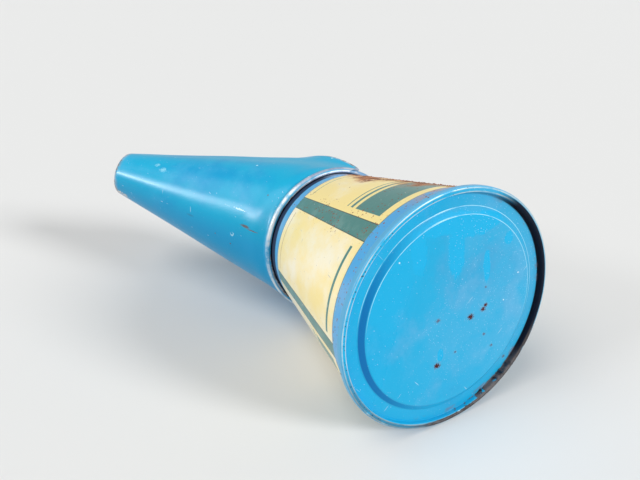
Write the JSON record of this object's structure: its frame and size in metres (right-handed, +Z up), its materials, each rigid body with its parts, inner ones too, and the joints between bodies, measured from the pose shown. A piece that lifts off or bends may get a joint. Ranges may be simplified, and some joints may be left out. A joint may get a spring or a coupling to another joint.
{
  "type": "antifreeze pourer jug",
  "caption": "Tinplate pouring jug with a tapered body, double-seamed base, hooded conical spout soldered to the wired rim and a strap handle.",
  "frame": {"origin": "centre of the ring that the base stands on, below the flat centre panel of the base", "axes": "+Z up the body's axis, spout towards -X, handle towards +X"},
  "size_m": [0.1834, 0.11, 0.2186],
  "materials": {
    "blue_enamel": "glossy blue paint on tinplate, worn",
    "printed_tin": "printed tinplate with blue, teal and cream bands, worn",
    "bare_tin": "dull tinned steel",
    "solder": "dull grey solder"
  },
  "bodies": {
    "root": {"base_plate": "blue_enamel", "body_shell": "printed_tin", "rim_wire": "bare_tin", "spout_hood": "blue_enamel", "joint_solder": "solder", "handle_strap": "blue_enamel", "rivet_top_left": "bare_tin", "rivet_top_right": "bare_tin", "rivet_low_left": "bare_tin", "rivet_low_right": "bare_tin"}
  },
  "joints": []
}
